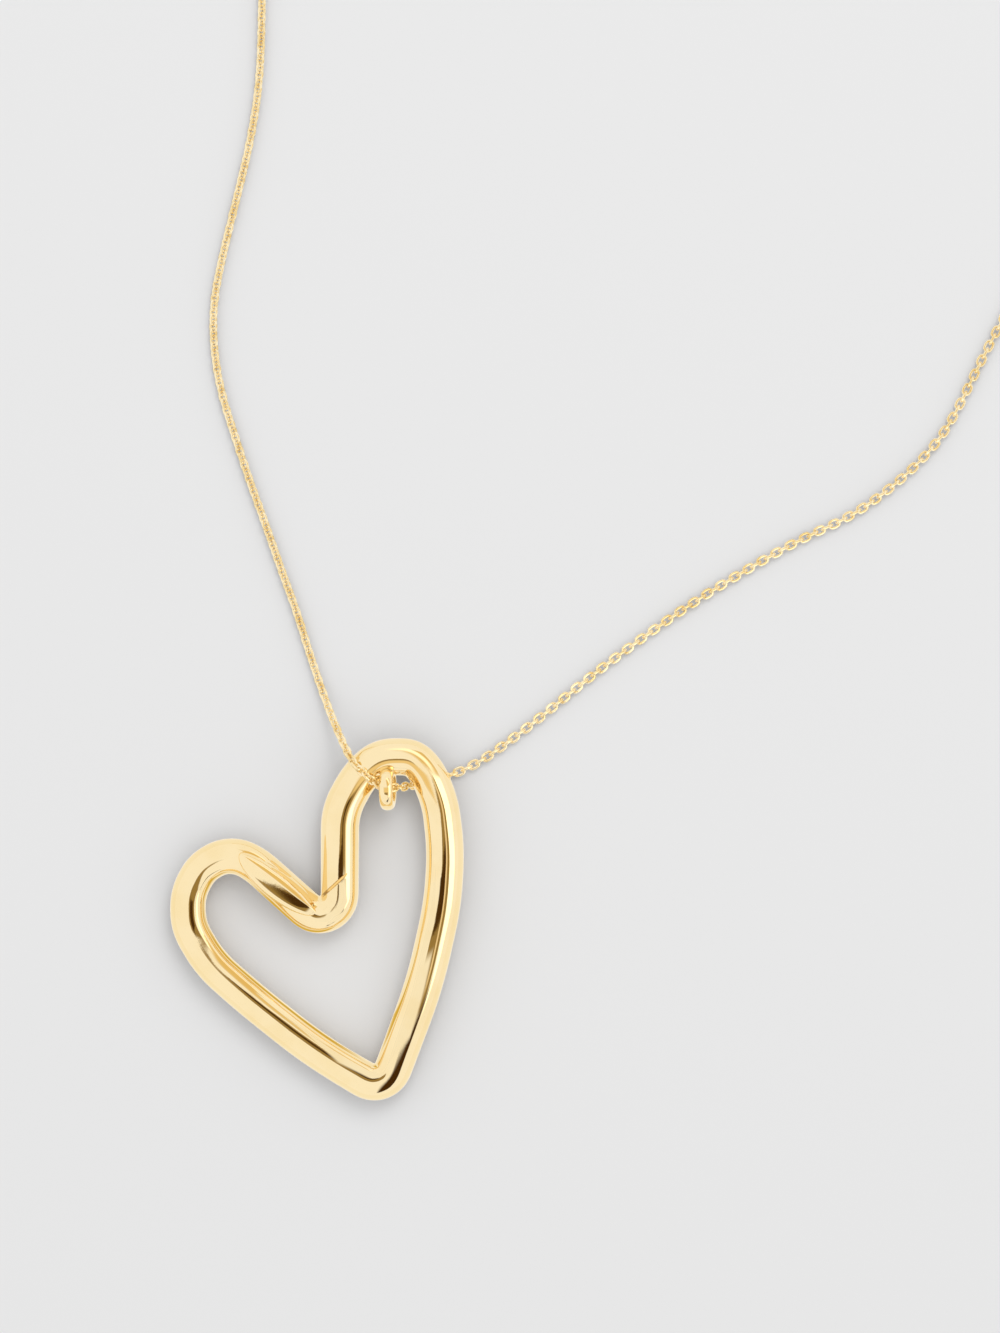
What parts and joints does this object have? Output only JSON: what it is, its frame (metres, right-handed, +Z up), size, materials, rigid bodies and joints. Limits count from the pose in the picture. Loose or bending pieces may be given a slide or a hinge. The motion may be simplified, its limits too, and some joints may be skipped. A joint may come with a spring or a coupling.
{
  "type": "heart pendant necklace",
  "caption": "Necklace: an open heart bent from a round bar, with a soldered band bail, on a fine cable chain laid out in a loop and closed by a plain ring clasp.",
  "frame": {"origin": "the middle of the neck opening, on the surface the necklace lies on", "axes": "+Z up from the surface, +Y along the loop towards the clasp, away from the pendant, +X to the right as one looks down on it"},
  "size_m": [0.1149, 0.2148, 0.0075],
  "materials": {
    "polished_gold": "gold plate, mirror polished",
    "chain_gold": "gold plate on fine links",
    "clasp_gold": "gold plate, polished"
  },
  "bodies": {
    "root": {"heart_pendant": "polished_gold", "chain_left": "chain_gold", "chain_right": "chain_gold", "clasp": "clasp_gold"}
  },
  "joints": []
}
